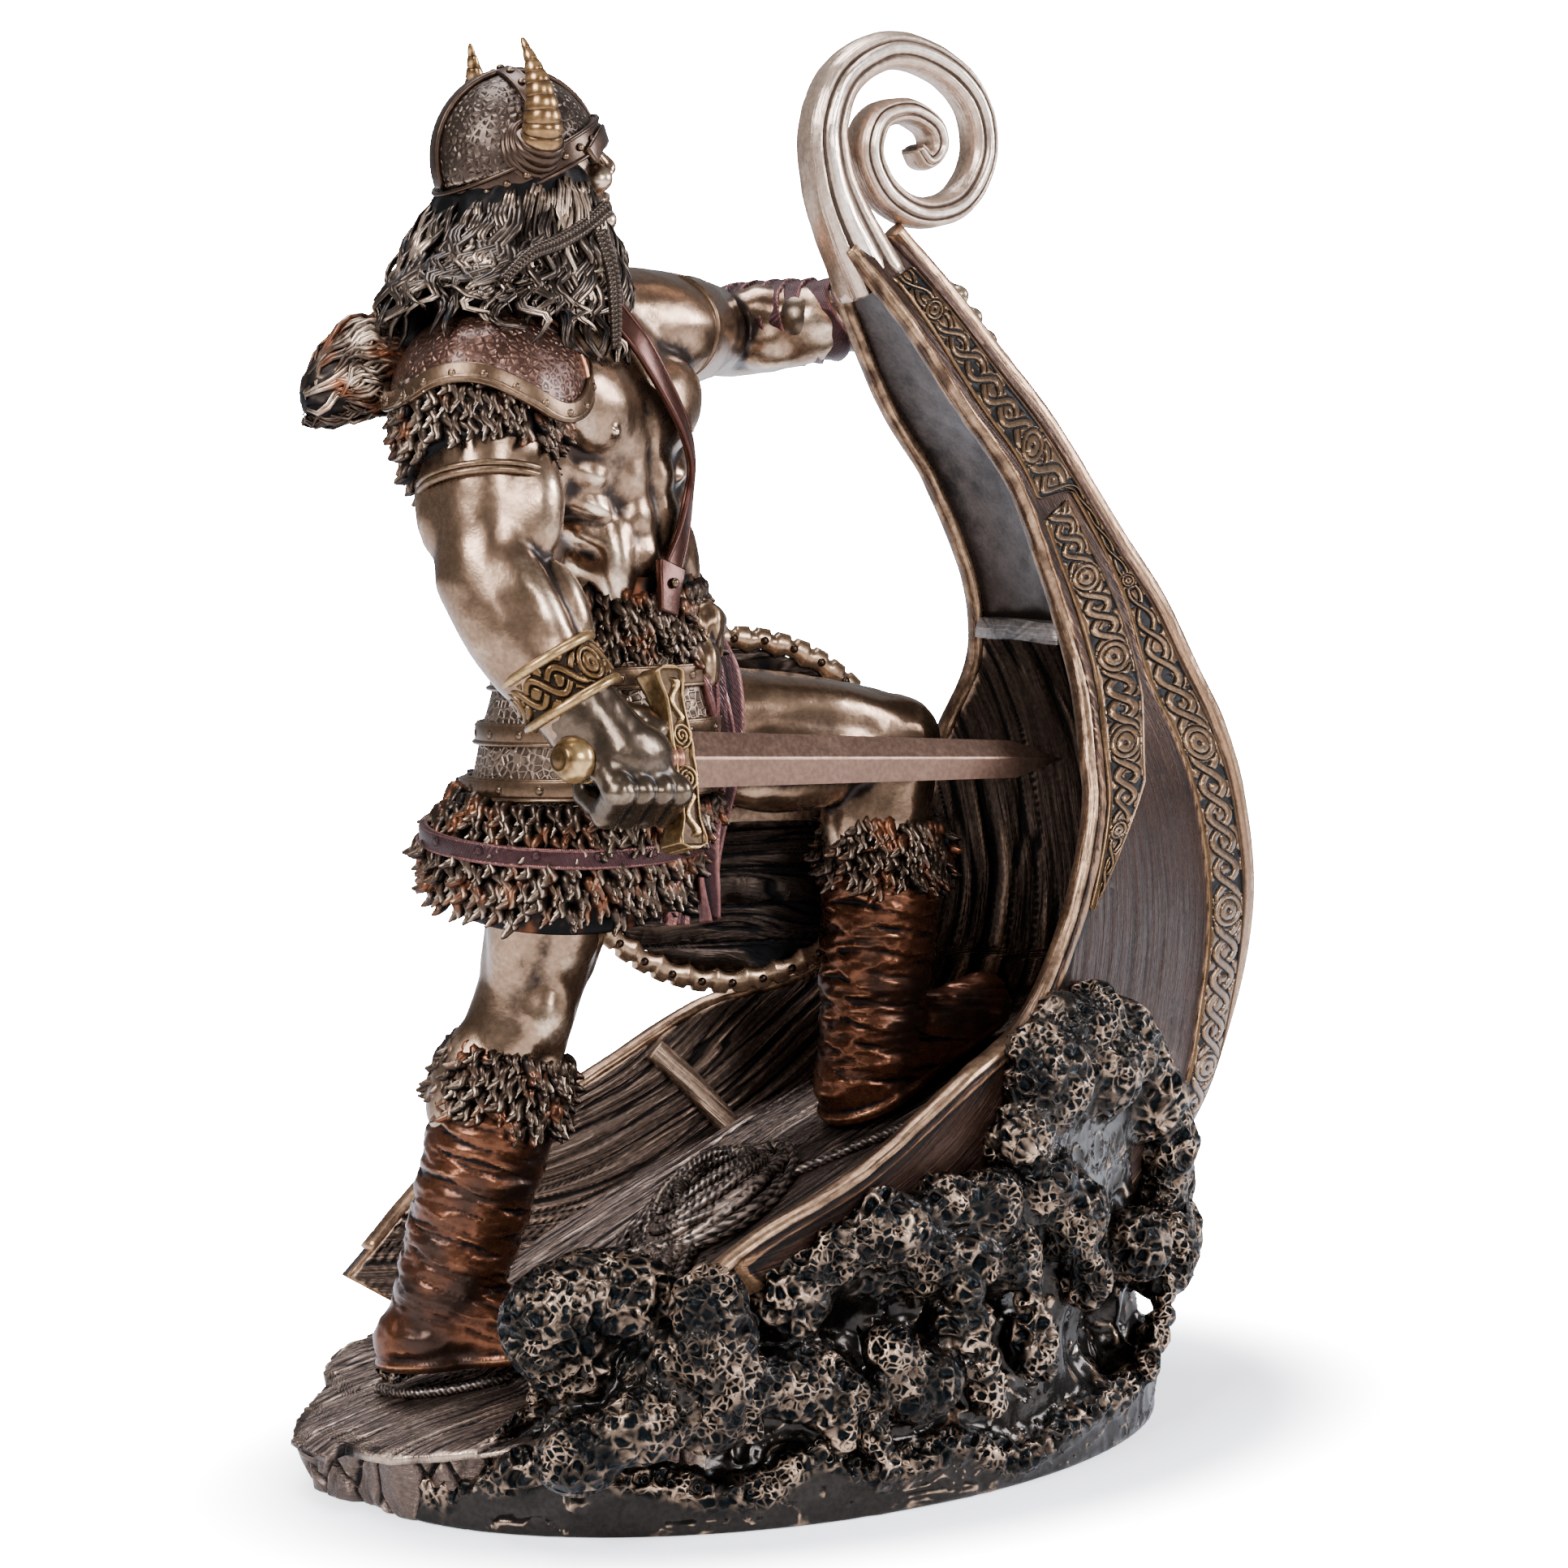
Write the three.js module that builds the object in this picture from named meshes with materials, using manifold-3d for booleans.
// A viking warrior at the prow of a longship in a breaking sea: a cast tabletop figure group.
// Millimetres. X runs towards the bow, Y to port, Z up. The ship's middle plane is Y = 0 and the
// underside of the sea is Z = 0 while the shapes are made; the whole is centred at the end.
import * as THREE from "three";
import { mergeVertices } from "three/addons/utils/BufferGeometryUtils.js";
import Module from "manifold-3d";

const wasm = await Module();
wasm.setup();

// Driving dimensions
const HULL_WALL = 3.4;
const CLEARANCE = 0.35;
const SEA_LENGTH = 190;
const SEA_WIDTH = 124;
const SEA_MIDDLE_X = -4;
const SEA_MIDDLE_Y = 1;
const SEA_HEIGHT_BOW = 62;
const SEA_HEIGHT_STERN = 14;
const SHIELD_RADIUS = 41;
const SHIELD_THICKNESS = 3.2;
const BLADE_LENGTH = 117;
const BLADE_WIDTH = 11.6;
const BLADE_THICKNESS = 3.2;
const GUARD_HALF_LENGTH = 18.4;
const GRIP_RADIUS = 2.3;
const POMMEL_RADIUS = 4.7;

const v = (x, y, z) => new THREE.Vector3(x, y, z);
const vectors = (rows) => rows.map((row) => v(...row));

// The joints of the warrior's body, each at the middle of the limb
const BODY = {
  hipRight: v(-53, -4, 150),
  kneeRight: v(-61, 5, 97),
  ankleRight: v(-76, 12, 36),
  heelRight: v(-83.5, 16, 23.5),
  toeRight: v(-54, -6, 27),
  hipLeft: v(-32, 12, 153),
  kneeLeft: v(33, 8, 149),
  ankleLeft: v(27.5, 9, 74),
  heelLeft: v(23, 9.5, 67.5),
  toeLeft: v(60.5, 8, 84.5),
  shoulderRight: v(-75.5, -14, 231),
  elbowRight: v(-83, -25, 190),
  wristRight: v(-71.5, -38, 165),
  shoulderLeft: v(-18, 15, 238),
  elbowLeft: v(11, 44, 238),
  wristLeft: v(24, 23.5, 240.5),
  neck: v(-52, 1, 248),
  head: v(-57, 5, 269),
};

// The sword lies nearly level, from the fist towards the inside of the bow
const SWORD = {
  guard: v(-48.7, -38, 153.3),
  tip: v(63.9, -12, 144.9),
};
SWORD.along = SWORD.tip.clone().sub(SWORD.guard).normalize();
SWORD.across = v(0, 0.28, 0.96)
  .addScaledVector(SWORD.along, -v(0, 0.28, 0.96).dot(SWORD.along))
  .normalize();
SWORD.pommel = SWORD.guard.clone().addScaledVector(SWORD.along, -26.6);

// Solids

function signedVolume(position, index) {
  let volume = 0;
  const [a, b, c] = [v(0, 0, 0), v(0, 0, 0), v(0, 0, 0)];
  for (let i = 0; i < index.length; i += 3) {
    a.fromArray(position, 3 * index[i]);
    b.fromArray(position, 3 * index[i + 1]);
    c.fromArray(position, 3 * index[i + 2]);
    volume += a.dot(b.cross(c)) / 6;
  }
  return volume;
}

function solid(geometry) {
  const bare = geometry.clone();
  bare.deleteAttribute("normal");
  bare.deleteAttribute("uv");
  const merged = mergeVertices(bare, 1e-4);
  const vertProperties = new Float32Array(merged.attributes.position.array);
  const triVerts = new Uint32Array(merged.index.array);
  if (signedVolume(vertProperties, triVerts) < 0) {
    for (let i = 0; i < triVerts.length; i += 3) {
      [triVerts[i], triVerts[i + 1]] = [triVerts[i + 1], triVerts[i]];
    }
  }
  return new wasm.Manifold(new wasm.Mesh({ numProp: 3, vertProperties, triVerts }));
}

const joined = (solids) => solids.reduce((whole, piece) => whole.add(piece));

// A closed skin over rings of equal point count, with each end closed to the ring's middle
function loft(rings) {
  const count = rings[0].length;
  const points = rings.flat();
  const index = [];
  for (let ring = 0; ring + 1 < rings.length; ring += 1) {
    for (let i = 0; i < count; i += 1) {
      const here = ring * count + i;
      const next = ring * count + ((i + 1) % count);
      index.push(here, next, next + count, here, next + count, here + count);
    }
  }
  for (const [ring, first] of [[rings[0], 0], [rings.at(-1), (rings.length - 1) * count]]) {
    const middle = ring.reduce((sum, point) => sum.add(point), v(0, 0, 0)).divideScalar(count);
    points.push(middle);
    for (let i = 0; i < count; i += 1) {
      const edge = [first + i, first + ((i + 1) % count)];
      index.push(points.length - 1, ...(first ? edge : edge.reverse()));
    }
  }
  const geometry = new THREE.BufferGeometry().setFromPoints(points);
  geometry.setIndex(index);
  return solid(geometry);
}

// A limb: oval rings along a smooth line, with rounded ends. Each radius is one number or
// [along the limb's side direction, across it].
function limb(path, radii, { sides = 8, steps = 2, side = v(0, 0, 1), round = 0.6 } = {}) {
  const line = new THREE.CatmullRomCurve3(path, false, "centripetal");
  const widths = radii.map((radius) => (Array.isArray(radius) ? radius : [radius, radius]));
  const last = (path.length - 1) * steps;
  const rings = [];
  const ring = (t, shrink, push) => {
    const place = Math.min(t * (widths.length - 1), widths.length - 1 - 1e-6);
    const low = Math.floor(place);
    const high = Math.min(low + 1, widths.length - 1);
    const mix = (axis) => THREE.MathUtils.lerp(widths[low][axis], widths[high][axis], place - low);
    const tangent = line.getTangent(t);
    const first = side.clone().addScaledVector(tangent, -side.dot(tangent)).normalize();
    const second = tangent.clone().cross(first);
    const middle = line.getPoint(t).addScaledVector(tangent, push * Math.min(mix(0), mix(1)));
    return Array.from({ length: sides }, (_, i) => {
      const angle = (2 * Math.PI * i) / sides;
      return middle.clone()
        .addScaledVector(first, Math.cos(angle) * mix(0) * shrink)
        .addScaledVector(second, Math.sin(angle) * mix(1) * shrink);
    });
  };
  rings.push(ring(0, 0.6, -round));
  for (let step = 0; step <= last; step += 1) {
    rings.push(ring(step / last, 1, 0));
  }
  rings.push(ring(1, 0.6, round));
  return loft(rings);
}

function lump(middle, [a, b, c], turn = [0, 0, 0], detail = 1) {
  const geometry = new THREE.IcosahedronGeometry(1, detail);
  geometry.scale(a, b, c);
  geometry.rotateX(turn[0]);
  geometry.rotateY(turn[1]);
  geometry.rotateZ(turn[2]);
  geometry.translate(middle.x, middle.y, middle.z);
  return solid(geometry);
}

// An outline in the XZ plane pushed out along Y on both sides
function slab(outline, halfWidth) {
  const shape = new THREE.Shape(outline.map(([x, z]) => new THREE.Vector2(x, z)));
  const geometry = new THREE.ExtrudeGeometry(shape, { depth: 2 * halfWidth, bevelEnabled: false });
  geometry.rotateX(Math.PI / 2);
  geometry.translate(0, halfWidth, 0);
  return solid(geometry);
}

// The ship's bow: each station joins a point of the rail to a point of the stem or keel
const RAIL = new THREE.CatmullRomCurve3(vectors([
  [14, 5.4, 255], [24.4, 12.4, 239.5], [36.5, 16.4, 221], [48.2, 17.6, 206], [57.7, 17, 186],
  [61.8, 18.8, 172], [62.6, 22.4, 161.5], [60, 29, 148], [57.6, 33.5, 134.5], [49, 37.5, 113],
  [33.6, 43.5, 94], [10, 54.5, 85.2], [-19, 59.2, 69.5], [-50, 61, 53.5], [-78, 58, 30],
]));
const KEEL = new THREE.CatmullRomCurve3(vectors([
  [27, 0, 259], [40, 0, 247], [55, 0, 231.5], [68.6, 0, 217], [87, 0, 193],
  [99, 0, 178], [108, 0, 163], [117, 0, 148], [123, 0, 131], [125.8, 0, 108],
  [121, 0, 84], [110, 0, 62], [84, 0, 38], [40, 0, 18], [-40, 0, 8],
]));
const NECK_END = 5 / 14;
const STEM_HALF_WIDTH = 1.9;

// How full the side is at a share of the way from the keel to the rail
function fullness(station) {
  return THREE.MathUtils.lerp(1.02, 0.42, THREE.MathUtils.smoothstep(station, 0.5, 0.95));
}

function hullRing(station, { inset = 0, rise = 0, forward = 0 } = {}) {
  const rail = RAIL.getPoint(station);
  const keel = KEEL.getPoint(station);
  const half = [];
  const levels = 5;
  for (let level = 0; level <= levels; level += 1) {
    const share = level / levels;
    const point = keel.clone().lerp(rail, forward + (1 + rise - forward) * share);
    const width = STEM_HALF_WIDTH + (rail.y - STEM_HALF_WIDTH) * share ** fullness(station);
    half.push(v(point.x, Math.max(width - inset, 0.6), point.z));
  }
  const starboard = half.map((point) => v(point.x, -point.y, point.z));
  return [...half.reverse(), ...starboard];
}

function hullLoft(from, to, count, options) {
  return loft(Array.from({ length: count + 1 }, (_, i) =>
    hullRing(from + ((to - from) * i) / count, options)));
}

// The floor of the ship rises towards the bow
const FLOOR = [
  [-112, 10.5], [-90, 16], [-68, 20], [-50, 30], [-20, 44.5], [15, 60.5], [64, 79.5], [100, 93],
];

function hullHollow() {
  const start = NECK_END + 0.012;
  const steps = 15;
  const rings = Array.from({ length: steps + 1 }, (_, i) =>
    hullRing(start + ((1 - start) * i) / steps, { inset: HULL_WALL, rise: 0.12, forward: 0.06 }));
  rings.push(rings.at(-1).map((point) => point.clone().add(v(-60, 0, 0))));
  const inside = loft(rings);
  const aboveFloor = slab([...FLOOR, [120, 320], [-140, 320]], 80);
  return inside.intersect(aboveFloor);
}

// The curl at the top of the prow, wound inwards in the middle plane
function scroll() {
  const path = vectors([
    [21, 0, 251], [14, 0, 262], [10.6, 0, 271], [9.8, 0, 281], [14.5, 0, 291.5], [26, 0, 297.4],
    [39, 0, 294.6], [47.6, 0, 287], [49.6, 0, 276], [44, 0, 266.4], [34, 0, 263.4], [25, 0, 267],
    [20.2, 0, 275], [22.3, 0, 282.5], [29.3, 0, 284.8], [36, 0, 282], [37.6, 0, 277.5], [35, 0, 274.5],
    [32.5, 0, 277],
  ]);
  const radii = [
    [7, 5.6], [6, 5.2], [5.2, 5], [4.8, 4.8], [4.4, 4.7], [4, 4.6],
    [3.7, 4.5], [3.5, 4.5], [3.4, 4.5], [3.4, 4.6], [3.3, 4.8], [3.1, 5],
    [3, 5.2], [2.8, 5.2], [2.6, 5.1], [2.4, 5], [2.2, 4.8], [2, 4.6],
    [1.8, 4.4],
  ];
  const widths = radii.map(([across, wide]) => [wide, across]);
  return limb(path, widths, { side: v(0, 1, 0) });
}

function seaHeight(angle) {
  const middle = (SEA_HEIGHT_BOW + SEA_HEIGHT_STERN) / 2;
  const swing = (SEA_HEIGHT_BOW - SEA_HEIGHT_STERN) / 2;
  return middle + swing * Math.cos(angle) + 6 * Math.sin(angle) ** 2;
}

// The body of the sea: an oval mound with a rippled edge, flat underneath
function sea() {
  const around = 30;
  const levels = [[0.99, 0], [1, 0.1], [0.96, 0.45], [0.88, 0.85], [0.62, 1]];
  const rings = levels.map(([reach, level]) => Array.from({ length: around }, (_, i) => {
    const angle = (2 * Math.PI * i) / around;
    const ripple = 1 + 0.022 * Math.sin(9 * angle + 14 * level) * Math.sin(Math.PI * level);
    return v(
      SEA_MIDDLE_X + (SEA_LENGTH / 2) * reach * ripple * Math.cos(angle),
      SEA_MIDDLE_Y + (SEA_WIDTH / 2) * reach * ripple * Math.sin(angle),
      level * seaHeight(angle),
    );
  }));
  return loft(rings);
}

// The broken end of the deck, pointed towards the stern
function brokenDeck() {
  const outline = [
    [-66, -42], [-80, -33], [-92, -22], [-100, -12], [-104, 4], [-108.5, 18],
    [-101, 27], [-97, 34], [-92, 38], [-88, 47], [-78, 56], [-60, 58],
  ];
  const floorAt = (x) => 11 + (x + 110) * 0.23;
  const ring = (grow, drop) => outline.map(([x, y]) => {
    const edge = v(x, y, 0).sub(v(-60, 8, 0)).multiplyScalar(grow).add(v(-60, 8, 0));
    return v(edge.x, edge.y, Math.max(floorAt(edge.x) - drop, 0));
  });
  return loft([ring(0.9, 30), ring(0.96, 8), ring(1, 3.5), ring(0.995, 0)]);
}

// The breaking crest along the ship's side: middle and radius, from the stern to the bow
const CREST = [
  [[-73, -38, 40], 12], [[-56, -43, 41], 10], [[-36, -51, 45], 8], [[-14, -54, 51], 9], [[0, -56, 48], 9],
  [[16, -52, 54], 10], [[31, -46, 65], 10], [[43, -40, 80], 11], [[60, -32, 84], 12], [[76, -26, 72], 12],
  [[86, -19, 55], 10], [[98, -5, 49], 11],
];

// Lower clumps of foam: middle and size
const CLUMPS = [
  [[71, -37, 33], [12, 9, 9]], [[42, -50, 52], [12, 8, 11]], [[30, -55, 40], [9, 8, 12]],
  [[-76, -45, 25], [13, 9, 7]], [[-40, -54, 28], [16, 9, 8]], [[-12, -57, 27], [14, 8, 9]],
  [[10, -57, 16], [18, 7, 8]], [[-56, -47, 12], [18, 9, 8]],
];

function foam() {
  const sides = [(x, y, z) => v(x, y, z), (x, y, z) => v(x + 2, 1 - y * 0.95, z * 0.92)];
  const side = v(0, 0, 1);
  return sides.flatMap((place) => [
    limb(CREST.map(([middle]) => place(...middle)), CREST.map(([, radius]) => radius), { sides: 7, side }),
    ...CLUMPS.map(([middle, size], i) =>
      lump(place(...middle), size, [0.3 * Math.sin(i), 0.2, 0.4 * Math.cos(i)])),
  ]);
}

// Rope lying in flat loops on the floor
function ropeCoil() {
  const floorHeight = (x) => 44.5 + (x + 20) * 0.457;
  return [[0, 20, 9.5, 0], [2.6, 15, 7, 4]].map(([lift, long, wide, shift]) => {
    const path = Array.from({ length: 10 }, (_, i) => {
      const angle = (2 * Math.PI * (i + 0.3)) / 9.8;
      const x = -19 + shift + long * Math.cos(angle);
      return v(x, 6 + wide * Math.sin(angle), floorHeight(x) + 2.4 + lift);
    });
    return limb(path, [3.4, 3.4], { sides: 5, steps: 1 });
  });
}

function rib(x, lean) {
  const path = [v(x, 57, 81 + lean), v(x + 6, 53.5, 70 + lean), v(x + 11, 46, 60 + lean)];
  return limb(path, [[1.6, 2.4], [1.6, 2.4]], { sides: 6, steps: 2, side: v(0, 1, 0) });
}

function thwart() {
  const outline = [[61, 170.5], [61, 175], [74, 175], [74, 170.5]];
  return slab(outline, 12.5);
}

function shipAndSea() {
  const hull = joined([hullLoft(0, 1, 24), brokenDeck(), sea()]);
  const carved = hull.subtract(hullHollow()).subtract(neckTrough());
  return joined([carved, scroll(), thwart(), rib(-1, 0), ...foam(), ...ropeCoil()]);
}

// The back of the neck is dished between its two rims
function neckTrough() {
  const count = 9;
  const rings = Array.from({ length: count + 1 }, (_, i) => {
    const station = 0.05 + (NECK_END - 0.035) * (i / count);
    const rail = RAIL.getPoint(station);
    const keel = KEEL.getPoint(station);
    const inward = keel.clone().sub(v(rail.x, 0, rail.z)).normalize();
    const width = rail.y - 2.6;
    const depth = Math.min(width * 0.42, 6);
    return Array.from({ length: 8 }, (_, k) => {
      const angle = (Math.PI * k) / 7;
      const sink = k === 0 || k === 7 ? -1.5 : depth * Math.sin(angle) - 0.4;
      return v(rail.x + inward.x * sink, width * Math.cos(angle), rail.z + inward.z * sink);
    });
  });
  return loft(rings);
}

// The warrior

function boot(knee, ankle, heel, toe, cuffShare, widths) {
  const cuff = knee.clone().lerp(ankle, cuffShare);
  const sole = toe.clone().sub(heel);
  const instep = heel.clone().addScaledVector(sole, 0.5).add(v(0, 0, 2.5));
  return [
    limb([cuff, cuff.clone().lerp(ankle, 0.5), ankle], widths, { side: v(1, 0, 0) }),
    limb([cuff.clone().lerp(knee, 0.1), cuff.clone().lerp(ankle, 0.13)], [14, 14.6, 13.4],
      { sides: 10, side: v(1, 0, 0) }),
    limb([heel.clone().add(v(0, 0, 1.5)), instep, toe.clone().add(v(0, 0, 1))],
      [[7, 7.4], [6.6, 7.8], [4.6, 6]]),
  ];
}

function legs() {
  const { kneeRight, ankleRight, heelRight, toeRight, kneeLeft, ankleLeft, heelLeft, toeLeft } = BODY;
  const right = boot(kneeRight, ankleRight, heelRight, toeRight, 0.2, [11.2, 11, 10.2, 9.6]);
  const left = boot(kneeLeft, ankleLeft, heelLeft, toeLeft, 0.3, [11.6, 11, 9.6, 9.2]);
  return [
    limb([BODY.hipRight, v(-56, 1, 122), BODY.kneeRight], [15, 14.5, 12.6, 11], { side: v(1, 0, 0) }),
    limb([BODY.kneeRight, v(-66, 7, 84)], [11.6, 12.2], { steps: 1, side: v(1, 0, 0) }),
    limb([BODY.hipLeft, v(2, 10, 152), BODY.kneeLeft], [14, 13.5, 12, 10.6], { steps: 2 }),
    limb([BODY.kneeLeft, v(29, 8, 126)], [10.8, 11.5], { steps: 1, side: v(1, 0, 0) }),
    ...right,
    ...left,
  ];
}

function ovalStack(levels, facing, sides = 12) {
  const forward = v(Math.cos(facing), Math.sin(facing), 0);
  const sideways = v(-Math.sin(facing), Math.cos(facing), 0);
  return loft(levels.map(([x, y, z, wide, deep, wave = 0]) => Array.from({ length: sides }, (_, i) => {
    const angle = (2 * Math.PI * i) / sides;
    return v(x, y, z + wave * Math.sin(2 * angle))
      .addScaledVector(sideways, wide * Math.cos(angle))
      .addScaledVector(forward, deep * Math.sin(angle));
  })));
}

const CHEST_FACING = -Math.PI / 2 + 0.445;

function torso() {
  return ovalStack([
    [-39, 0, 172, 16, 12.5], [-40, 0, 186, 16.5, 13], [-42, 0, 198, 18.5, 15], [-44.5, 0, 210, 22, 17],
    [-47, 0, 221, 25.5, 18.5], [-49, 0.5, 231, 27, 17.5], [-50.5, 1, 240, 23, 13.5], [-51, 1.5, 246, 13, 10],
  ], CHEST_FACING);
}

// The kilt: a fur belt, three riveted bands and a skirt of fur that swings out behind
function kilt() {
  return ovalStack([
    [-39, 0, 186, 17, 15], [-39.5, 0, 182, 20, 18.5], [-41.5, 0, 175, 19.5, 19], [-43.5, 0, 169, 21, 22],
    [-44.5, 0, 158, 23, 24.5], [-46, 0, 147, 23, 25.5], [-49, 0, 144, 25, 27], [-53, 1, 135, 25.5, 28],
    [-54, 1, 126, 24.5, 25.5], [-55, 0, 119, 19, 18],
  ], -0.7, 14);
}

function headAndHelmet() {
  const tilt = -0.33;
  const forward = v(Math.cos(tilt) * 0.98, -0.12, -Math.sin(tilt)).normalize();
  const up = v(Math.sin(tilt), 0, Math.cos(tilt));
  const at = (ahead, aside, above) => BODY.head.clone()
    .addScaledVector(forward, ahead)
    .addScaledVector(v(0, 1, 0), aside)
    .addScaledVector(up, above);
  const horn = (sign) => limb(
    [at(0, sign * 11, 6), at(3, sign * 17, 11), at(3, sign * 18, 19), at(-1, sign * 15.5, 28)],
    [4.6, 3.6, 2.6, 0.7], { sides: 7, steps: 1 });
  return [
    limb([BODY.neck, BODY.head.clone().add(v(2, 0, -8))], [9.5, 8], { steps: 2, side: v(1, 0, 0) }),
    lump(at(0, 0, 0), [14, 11, 15.5], [0, tilt, 0]),
    lump(at(-2.5, 0, 6), [17, 14.5, 16], [0, tilt, 0], 2),
    limb([at(12, 0, 0.5), at(16, 0, -3.5)], [[2.4, 2.2], [1.9, 2.2]], { sides: 6, steps: 2 }),
    lump(at(9, 0, -11), [6.5, 7, 7], [0, tilt, 0]),
    horn(-1),
    horn(1),
  ];
}

function hairAndBeard() {
  const shape = { sides: 6, steps: 1 };
  const lock = (path, thick) => limb(vectors(path), [thick, thick * 0.9, thick * 0.45], shape);
  return [
    lock([[-70, 5, 268], [-76, 4, 254], [-86, 2, 243], [-90, 0, 231]], 9),
    lock([[-66, -4, 262], [-70, -9, 250], [-76, -12, 240], [-80, -16, 232]], 8),
    lock([[-66, 14, 264], [-70, 17, 251], [-74, 17, 238], [-78, 14, 228]], 8),
    lock([[-58, -6, 262], [-59, -11, 250], [-60, -14, 240], [-62, -17, 230]], 7),
    lock([[-49, 1, 262], [-47.5, -2, 253], [-47.5, -6, 243], [-48.5, -11, 233]], 7),
    lock([[-52, -5, 262], [-50, -9, 250], [-52, -12, 240], [-54, -15, 231]], 6.5),
    lock([[-84, 6, 231], [-92, 8, 231], [-99, 10, 229], [-103.5, 10, 222.5]], 8),
  ];
}

// The pauldron over the right shoulder, with the fur that hangs from its rim
function pauldron() {
  const from = (x, y, z) => BODY.shoulderRight.clone().add(v(x, y, z));
  return [
    limb([from(9, 5, 8), from(-1, -1, 2), from(-5, -5, -9)],
      [[12, 15], [16.5, 17.5], [17.5, 17.5]], { sides: 12, steps: 2, round: 0.2, side: v(1, 0, 0) }),
    limb([from(-5, -6, -9), from(-8, -9, -20)], [17, 15.8, 13],
      { sides: 12, steps: 2, round: 0.2, side: v(1, 0, 0) }),
    limb([v(-62, -18, 236), v(-52, -17, 232)], [5.5, 3.5], { steps: 1 }),
  ];
}

function arms() {
  const { shoulderRight, elbowRight, wristRight, shoulderLeft, elbowLeft, wristLeft } = BODY;
  return [
    limb([shoulderRight, v(-81, -20, 210), elbowRight], [12.5, 12.4, 11.4], { steps: 2, side: v(1, 0, 0) }),
    limb([elbowRight, v(-79.5, -31, 178), wristRight], [11.2, 10.8, 8.6], { steps: 2, side: v(1, 0, 0) }),
    limb([v(-74.5, -35, 171), v(-69.5, -39.5, 161.5)], [9.6, 9.8], { steps: 1, side: v(1, 0, 0) }),
    limb([shoulderLeft, v(-4, 30, 238), elbowLeft], [11.5, 11, 9.6]),
    limb([elbowLeft, v(17, 34, 239.5), wristLeft], [9.4, 9, 8], { steps: 2 }),
    limb([v(-30, 6, 239), v(-17, 15, 237)], [11.5, 12.5], { steps: 2 }),
  ];
}

// The right fist closes round the grip; the left hand grips the neck of the prow from port
function hands() {
  const palm = SWORD.guard.clone().addScaledVector(SWORD.along, -14);
  const finger = (share) => {
    const middle = SWORD.guard.clone().addScaledVector(SWORD.along, -5 - 5 * share);
    const ring = Array.from({ length: 5 }, (_, i) => {
      const angle = -1.9 + 1.15 * i;
      return middle.clone()
        .addScaledVector(v(0, -1, 0), 6 * Math.cos(angle))
        .addScaledVector(v(0, 0, -1), 6 * Math.sin(angle));
    });
    return limb(ring, [2.9, 2.7, 2.2], { sides: 5, steps: 1 });
  };
  const grasp = (i) => limb([
    v(35 + 3.5 * i, 24.5 - 0.5 * i, 243 - 3.4 * i),
    v(44.5 + 2.7 * i, 18, 247 - 4.2 * i),
    v(46.5 + 3 * i, 6, 249.5 - 4.6 * i),
    v(44.5 + 3 * i, 2, 250.5 - 4.8 * i),
  ], [2.9, 2.6, 2.1], { sides: 5, steps: 1 });
  return [
    limb([BODY.wristRight, v(-66.5, -40.5, 158), palm],
      [[8.4, 8.8], [8.8, 9.4], [8.6, 9.6]], { side: v(1, 0, 0) }),
    ...[0, 1, 2, 3].map(finger),
    limb([BODY.wristLeft, v(33, 25.5, 240)], [[7.6, 6], [8.6, 4.4]]),
    ...[0, 1, 2, 3].map(grasp),
  ];
}

// The sash, its two tails and the rolled end, with a small pouch on the belt
function sash() {
  return [
    limb([v(-28, -14, 172), v(-23, -13, 160), v(-24, -14, 145), v(-29, -14, 130), v(-28.5, -12, 115)],
      [[2.6, 4.6], [2.6, 3.2]], { steps: 1 }),
    limb([v(-26, -13, 150), v(-33, -16, 134), v(-37.5, -16, 119)], [[2.6, 5], [2.4, 4.2]], { steps: 1 }),
    lump(v(-31, -17, 165), [5, 4.5, 7.5], [0, 0, 0], 0),
  ];
}

// Room under the soles and round the neck of the prow, so that the pieces stay apart
function standingRoom() {
  const floor = FLOOR.map(([x, z]) => [x, z + CLEARANCE]);
  return slab([...floor, [100, -20], [-112, -20]], 45);
}

function neckRoom() {
  return hullLoft(0, NECK_END, 10, { inset: -CLEARANCE, rise: 0.03, forward: -0.03 });
}

function grip(extra) {
  const start = SWORD.pommel.clone().addScaledVector(SWORD.along, -1);
  const radius = GRIP_RADIUS + extra;
  return limb([start, SWORD.guard], [radius, radius], { sides: 10, steps: 1, round: 0.9 });
}

function warrior() {
  const body = joined([
    ...legs(), torso(), kilt(), ...headAndHelmet(), ...hairAndBeard(),
    ...pauldron(), ...arms(), ...hands(), ...sash(),
  ]);
  const rooms = [standingRoom(), neckRoom(), swordPiece(CLEARANCE), roundShield(CLEARANCE)];
  return rooms.reduce((rest, room) => rest.subtract(room), body);
}

// The round shield, seen from its planked inner face, with a raised metal rim
function roundShield(grow = 0) {
  const radius = SHIELD_RADIUS + grow;
  const half = SHIELD_THICKNESS / 2 + grow;
  const rim = SHIELD_RADIUS - 5 - 2 * grow;
  const boss = 8 + 2 * grow;
  const outline = [
    [0, -half], [rim, -half], [rim + 0.6, -half - 1], [radius, -half - 1],
    [radius, half - 0.6], [rim, half + 0.4], [boss, half + 2.4], [boss - 1, half + 5], [0, half + 6.4],
  ];
  const geometry = new THREE.LatheGeometry(outline.map(([r, h]) => new THREE.Vector2(r, h)), 36);
  geometry.rotateX(0.02);
  geometry.rotateZ(-0.26);
  geometry.translate(5, 30.5, 133);
  return solid(geometry);
}

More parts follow.
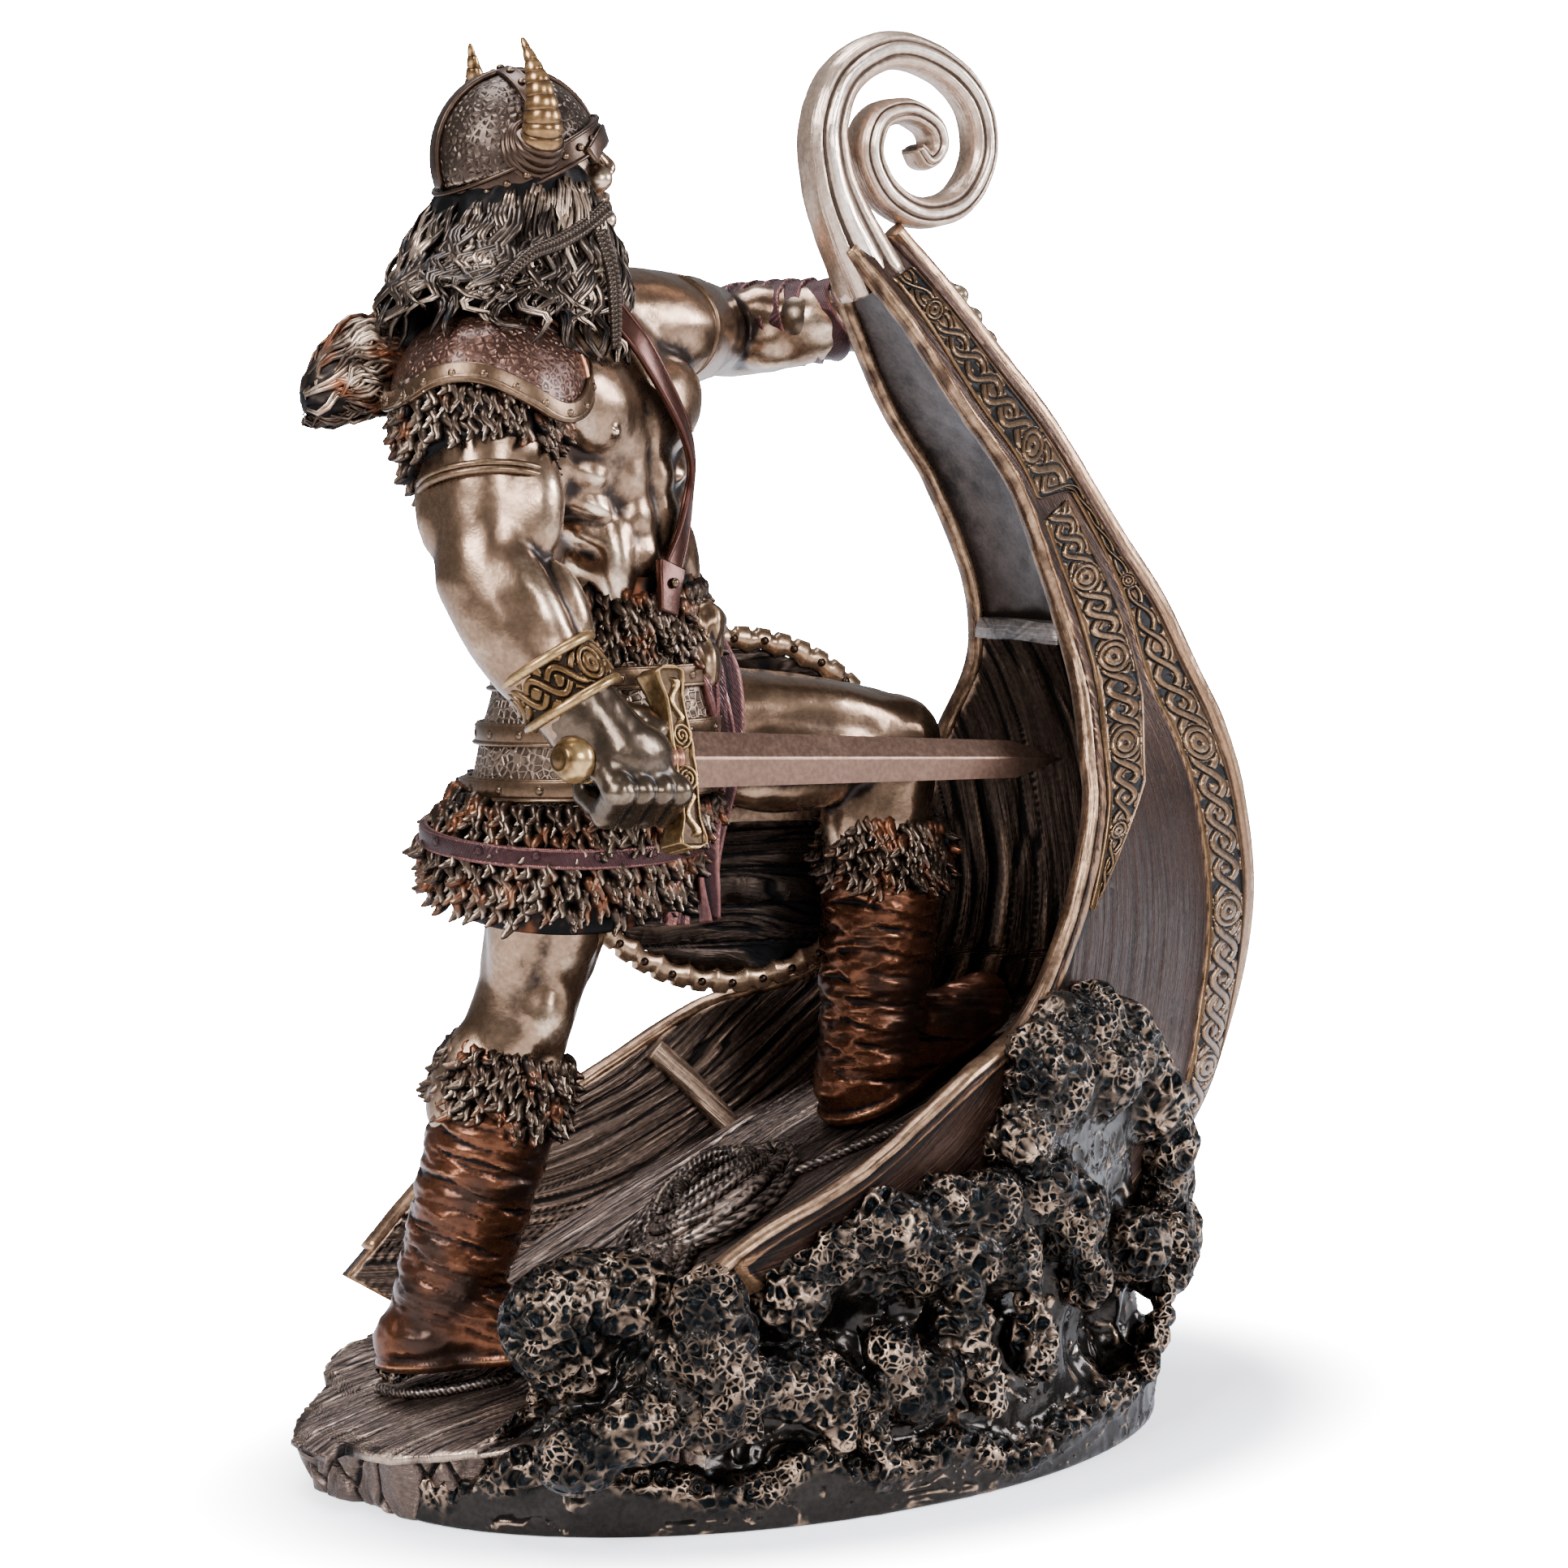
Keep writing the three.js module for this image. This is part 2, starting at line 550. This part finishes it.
// The sword: a blade with a ridge down each face, flared guard, grip and round pommel
function swordPiece(grow = 0) {
  const { guard, along, across, pommel } = SWORD;
  const flat = along.clone().cross(across);
  const sections = [[0, 1, 1], [0.5, 0.88, 0.9], [0.86, 0.72, 0.8], [1, 0.04, 0.1]];
  const blade = sections.map(([share, width, depth]) => {
    const half = (BLADE_WIDTH / 2) * width + grow;
    const thick = (BLADE_THICKNESS / 2) * depth + grow;
    const middle = guard.clone().addScaledVector(along, share * BLADE_LENGTH);
    return [[half, 0], [0, thick], [-half, 0], [0, -thick]].map(([a, b]) =>
      middle.clone().addScaledVector(across, a).addScaledVector(flat, b));
  });
  const guardRings = [-1, -0.86, -0.45, 0, 0.45, 0.86, 1].map((share) => {
    const flare = 2.1 + 1.7 * share ** 4 + grow;
    const deep = 2.6 + 1.1 * share ** 4 + grow;
    const middle = guard.clone().addScaledVector(across, share * GUARD_HALF_LENGTH);
    return Array.from({ length: 8 }, (_, i) => {
      const angle = (Math.PI * (i + 0.5)) / 4;
      return middle.clone()
        .addScaledVector(along, flare * Math.cos(angle))
        .addScaledVector(flat, deep * Math.sin(angle));
    });
  });
  const ball = POMMEL_RADIUS + grow;
  return joined([
    loft(blade),
    loft(guardRings),
    grip(grow),
    lump(pommel.clone().addScaledVector(along, -3), [ball, ball, ball]),
  ]);
}

// Each finished solid becomes a named mesh

function named(name, manifold, colour, roughness, metalness) {
  const { vertProperties, triVerts } = manifold.getMesh();
  const geometry = new THREE.BufferGeometry();
  geometry.setAttribute("position", new THREE.BufferAttribute(new Float32Array(vertProperties), 3));
  geometry.setIndex(new THREE.BufferAttribute(new Uint32Array(triVerts), 1));
  const material = new THREE.MeshStandardMaterial({ color: colour, roughness, metalness });
  const mesh = new THREE.Mesh(geometry, material);
  mesh.name = name;
  return mesh;
}

const ship = shipAndSea();
const sword = swordPiece();
const body = warrior();

const statue = new THREE.Group();
statue.add(
  named("ship_and_sea", ship, 0x4a3a2e, 0.45, 0.75),
  named("warrior", body, 0x8a6a4a, 0.35, 0.85),
  named("round_shield", roundShield(), 0x3d2c24, 0.5, 0.7),
  named("sword", sword, 0xa88470, 0.4, 0.9),
);

// The origin is the middle of the underside
const box = new THREE.Box3().setFromObject(statue);
const centre = box.getCenter(v(0, 0, 0));
for (const mesh of statue.children) {
  mesh.geometry.translate(-centre.x, -centre.y, -box.min.z);
}

export default statue;
